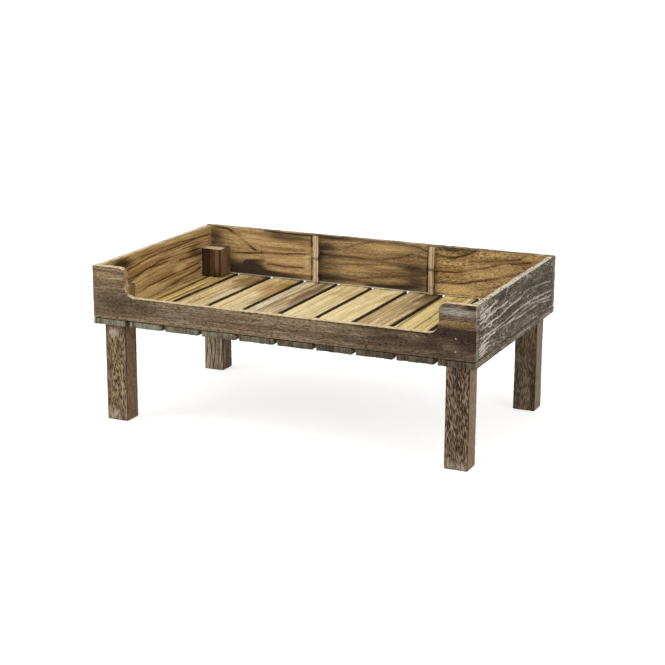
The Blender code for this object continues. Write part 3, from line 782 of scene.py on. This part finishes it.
# legs and corner blocks: brown stain, flat-sawn flecks towards the front, straight lines on the sides
legLook = dict(
    plainWood, slot="leg_wood", finish="stainedPaulownia", outer=("all",), step=(1.8, 1.3), layerStep=1.3,
    ease=1, pithDepth=(70, 0, 0), ringWidth=5, wave=14, waveLength=40, ripple=3, relief=0.3,
    fibreDepth=0.18, nibble=0.25, swell=0.6, lean=0.1, grainScale=0.9, edgeWidth=2.2, outerLines=0.4,
    outerFlecks=1.5, contrast=1.8, grit=1.9, rub=0, lime=0.5, grooves=0.1, flatSawn=0.65, edgeChar=0.7,
    dark="#3D2C1B", bare="#A08B70", grey="#A79D8C", warm="#86705A", endLight="#7B6A55", endDark="#4A3B2A",
    char="#2F2418",
)
legs = {
    "front_left": dict(
        outerLight="#A38A6A", outerMid="#826A4D", outerDark="#4E3B26", warm="#82674C", dark="#452E17",
        grey="#BFAF99", grainScale=1.05,
        marks=on("front", grey=[(62, -3, 10, 13, 0.8), (-66, 0, 12, 30, 0.5)]) + on("right",
            warm=[(*allOver, 0.9)], char=[(30, 0, 40, 99, 0.15)]),
    ),
    "front_right": dict(
        outerLight="#967A5C", outerMid="#705A42", outerDark="#3A2C1E", dark="#2F2116", warm="#8F7760",
        grey="#B3A48F", lime=0.6, lean=0.12, grainScale=1.02, flatSawn=0.7, contrast=2.4,
        marks=on("right", warm=[(*allOver, 1)]) + on("front", grey=[(-70, 0, 12, 30, 0.6)]),
    ),
    "rear_left": dict(
        outerLight="#BEA98D", outerMid="#957F66", outerDark="#4A3926", warm="#66543F",
        pithDepth=(10, 0, 0), pithAcross=(-60, 0, 0), outerFlecks=0.3, outerLines=1.2, ringWidth=6.5,
        contrast=2,
        marks=on("right", warm=[(*allOver, 0.7)]),
    ),
    "rear_right": dict(
        outerLight="#86725A", outerMid="#625039", outerDark="#30261B", dark="#33271B", warm="#8E7C69",
        lime=0.6, outerFlecks=0.6, outerLines=0.9, ringWidth=3.6, pithDepth=(30, 0, 0), wave=18,
        marks=on("right", warm=[(*allOver, 1.3)]) + on("front", char=[(0, 12, 99, 4, 0.5)]),
    ),
}
blockLook = dict(
    legLook, swell=0, grainScale=1, lean=0, flatSawn=0, pithDepth=(8, 0, 0), pithAcross=(40, 0, 0),
    outerLines=0.8, outerFlecks=0.3, topBare=0.9, rimChar=1.2, outer=("all", "front"), lime=0,
    step=(1.6, 1.3), rub=0.2, edgeChar=0.1, contrast=1, grit=0.9, outerLight="#6B5032",
    outerMid="#432F1B", outerDark="#25170B", bare="#D0B88F", warm="#7A5A33",
)
# the other two blocks are out of sight
blocks = {
    "front_left": dict(outerLight="#A98657", outerMid="#8A693F", outerDark="#553C20", bare="#C9B189"),
    "rear_left": dict(
        warm="#87694D",
        marks=on("front", warm=[(8, 10, 40, 4.5, 0.8), (0, -1, 60, 1.5, 0.5)], char=[(0, -13, 60, 6, 0.5),
            (0, 17, 60, 1.3, 0.8), (-22, 0, 8, 60, 0.4)]) + on("right", warm=[(0, 0, 99, 99, 0.65)]),
    ),
}
legSeed, blockSeed, seedStep = 100, 130, 5
for index, where in enumerate(legs):
    makePlank("leg_" + where, "zxy", dict(legLook, seed=legSeed + seedStep * index, **legs[where]))
    block = dict(blockLook, seed=blockSeed + seedStep * index, **blocks.get(where, {}))
    makePlank("corner_block_" + where, "zxy", block)
print("legs and corner blocks made")

# Bright drawn-wire steel: nails with small flat heads, faintly scratched, most of them dulled by rust
steel = dict(
    colour="#D8D4CA", dull="#A39C8E", rust="#6A5A48", roughest=0.65, smoothest=0.3, spotSize=0.8,
    spotDetail=3, bumpStrength=0.2, bumpDepth=0.05,
)


def makeSteel():
    material, tree, shader = openMaterial("drawnSteelWire")
    add = partial(addNode, tree)
    where = add("TexCoord", out="Object")
    dulled = add("Attribute", out="Fac", attribute_name="dulled")
    spots = add("TexNoise", {
        "Vector": where, "Scale": 1 / (steel["spotSize"] * mm), "Detail": steel["spotDetail"]})
    colour = add("Mix", {0: spots, 6: linear(steel["colour"]), 7: linear(steel["dull"])}, **blend)
    colour = add("Mix", {0: dulled, 6: colour, 7: linear(steel["rust"])}, **blend)
    rough = add("MapRange", {0: spots, "To Min": steel["smoothest"], "To Max": steel["roughest"]})
    relief = add("Bump", {
        "Height": spots, "Strength": steel["bumpStrength"], "Distance": steel["bumpDepth"] * mm})
    metal = add("Math", {0: 1, 1: dulled}, operation="SUBTRACT")
    feed(tree, shader, {"Base Color": colour, "Roughness": rough, "Metallic": metal, "Normal": relief})
    return material


steelWire = makeSteel()
# mm, then the shares that the head and the point taper to, and the sides of head and shank
nail = dict(
    headRadius=1.5, headHeight=0.5, shankRadius=0.8, shankLength=11, proud=0.12, headTaper=0.82,
    tipTaper=0.2, headSides=20, shankSides=12, dulled=0.85,
)


# Geometry Nodes: one nail on each point, turned to face out of the wood
def buildNailTree():
    sizes = ("Head Radius", "Head Height", "Shank Radius", "Shank Length")
    inputs = {"Geometry": "Geometry", **dict.fromkeys(sizes, "Float"), "Material": "Material"}
    tree, add = openTree("drivenNails", "GeometryNodeTree", inputs, {"Geometry": "Geometry"})
    given = add("NodeGroupInput", out=None).outputs
    head = (given["Head Radius"], given["Head Height"], nail["headSides"], nail["headTaper"], 1)
    shank = (given["Shank Radius"], given["Shank Length"], nail["shankSides"], 1, nail["tipTaper"])
    join = add("GeometryNodeJoinGeometry", out=None)
    for radius, depth, sides, *tapers in (head, shank):
        top, foot = (add("Math", {0: radius, 1: taper}, **times) for taper in tapers)
        cone = add("GeometryNodeMeshCone", {
            "Vertices": sides, "Radius Top": top, "Radius Bottom": foot, "Depth": depth})
        down = add("Math", {0: depth, 1: -1}, **times)
        drop = add("CombineXYZ", {2: down})
        seated = add("GeometryNodeTransform", {"Geometry": cone, "Translation": drop})
        tree.links.new(seated, join.inputs[0])
    outward = add("GeometryNodeInputNamedAttribute", {"Name": "outward"}, data_type="FLOAT_VECTOR")
    turn = add("FunctionNodeAlignRotationToVector", {"Vector": outward}, axis="Z")
    nails = add("GeometryNodeInstanceOnPoints", {
        "Points": given["Geometry"], "Instance": join.outputs[0], "Rotation": turn})
    closeTree(add, nails, given)
    return tree


def driveNails():
    facing = {"end_nail_front": (0, -1, 0), "end_nail_rear": (0, 1, 0), "side_nail_front_left": (-1, 0, 0),
              "side_nail_rear_left": (-1, 0, 0), "side_nail_front_right": (1, 0, 0),
              "side_nail_rear_right": (1, 0, 0), "slat_nail": (0, 0, -1), "batten_pin": (0, -1, 0)}
    heads, ways, nodes = [], [], []
    for node in sorted(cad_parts):
        way = next((Vector(way) for start, way in facing.items() if node.startswith(start)), None)
        if way is None:
            continue
        low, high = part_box(node)
        middle, reach = (low + high) / 2, (high - low) / 2
        heads.append(middle + way * (abs(reach.dot(way)) + nail["proud"] * mm))
        ways.append(way)
        nodes.append(node)
    mesh = bpy.data.meshes.new("nails")
    mesh.from_pydata(heads, [], [])
    keepValues(mesh, "outward", ways)
    bright = [node.startswith("end_nail_front_right") for node in nodes]
    keepValues(mesh, "dulled", np.where(bright, 0, nail["dulled"]))
    piece = addObject("nails_and_pins", mesh)
    bakeTree(piece, buildNailTree(), {
        "Head Radius": nail["headRadius"] * mm, "Head Height": nail["headHeight"] * mm,
        "Shank Radius": nail["shankRadius"] * mm, "Shank Length": nail["shankLength"] * mm,
        "Material": steelWire})
    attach(piece, "root")
    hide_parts(*nodes)
    return nodes


nailNodes = driveNails()
for node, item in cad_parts.items():
    if node.startswith("leg_dowel_screw"):
        item.data.materials.clear()
        item.data.materials.append(steelWire)
print("nails made:", len(nailNodes))

# pale floor that keeps the shadow, soft light and the camera of the photograph, in metres and degrees
studio = dict(
    floorSize=60, floorColour="#D9D7D3", floorRoughness=0.9, floorLift=0.68, skyColour="#FFFFFF",
    skyLight=0.55, skySeen=1, lampAim=(0, 0, 0.15),
)
softboxes = {
    "topSoftbox": dict(place=(-0.4, -0.5, 1.9), size=(1.8, 1.4), power=16),
    "leftSoftbox": dict(place=(-1.7, -1.5, 1.2), size=(1.2, 1.2), power=14),
    "rightSoftbox": dict(place=(1.9, -0.9, 0.9), size=(1, 1.2), power=9),
}
camera = dict(
    azimuth=24.093, elevation=14.661, roll=0.262, distance=2.479, aside=0.0074, above=0.00656,
    aimHeight=0.12, lens=88.4, sensorWidth=36,
)


# 1 where the camera sees a surface straight, mirrored or through glass, 0 where it only gives light
def seenBy(tree):
    path = addNode(tree, "LightPath", out=None).outputs
    seen = addNode(tree, "Math", {0: path["Is Camera Ray"], 1: path["Is Glossy Ray"]}, operation="ADD")
    return addNode(tree, "Math", {0: seen, 1: path["Is Transmission Ray"]}, operation="ADD", use_clamp=True)


def makeFloor():
    half = studio["floorSize"] / 2
    mesh = bpy.data.meshes.new("floor")
    corners = [(-half, -half, 0), (half, -half, 0), (half, half, 0), (-half, half, 0)]
    mesh.from_pydata(corners, [], [(0, 1, 2, 3)])
    floor = addObject("floor", mesh)
    material, tree, shader = openMaterial("whitePaperSweep")
    lift = addNode(tree, "Math", {0: seenBy(tree), 1: studio["floorLift"]}, **times)
    feed(tree, shader, {
        "Base Color": linear(studio["floorColour"]), "Roughness": studio["floorRoughness"],
        "Specular IOR Level": 0, "Emission Color": linear(studio["skyColour"]), "Emission Strength": lift})
    mesh.materials.append(material)


def makeWorld():
    world = bpy.data.worlds.new("studio")
    bpy.context.scene.world = world
    world.use_nodes = True
    tree = world.node_tree
    strength = addNode(tree, "Mix", {0: seenBy(tree), 2: studio["skyLight"], 3: studio["skySeen"]})
    feed(tree, tree.nodes["Background"], {"Color": linear(studio["skyColour"]), "Strength": strength})


def addSoftbox(name, place, size, power):
    lamp = bpy.data.lights.new(name, "AREA")
    lamp.shape = "RECTANGLE"
    lamp.size, lamp.size_y = size
    lamp.energy = power
    turn = (Vector(place) - Vector(studio["lampAim"])).to_track_quat("Z", "Y").to_matrix().to_4x4()
    addObject(name, lamp).matrix_world = Matrix.Translation(place) @ turn


def placeCamera():
    turn, tilt, roll = (math.radians(camera[key]) for key in ("azimuth", "elevation", "roll"))
    back = Vector((math.sin(turn) * math.cos(tilt), -math.cos(turn) * math.cos(tilt), math.sin(tilt)))
    right = Vector((math.cos(turn), math.sin(turn), 0))
    up = back.cross(right)
    spot = back * camera["distance"] + right * camera["aside"] + up * camera["above"]
    spot += Vector((0, 0, camera["aimHeight"]))
    level = Matrix((right, up, back)).transposed()
    lens = bpy.data.cameras.new("camera")
    lens.lens = camera["lens"]
    lens.sensor_width = camera["sensorWidth"]
    item = addObject("camera", lens)
    item.matrix_world = Matrix.Translation(spot) @ (level @ Matrix.Rotation(roll, 3, "Z")).to_4x4()
    bpy.context.scene.camera = item


makeFloor()
makeWorld()
for name, softbox in softboxes.items():
    addSoftbox(name, **softbox)
placeCamera()
bpy.context.scene.view_settings.view_transform = "Standard"
print("studio set")
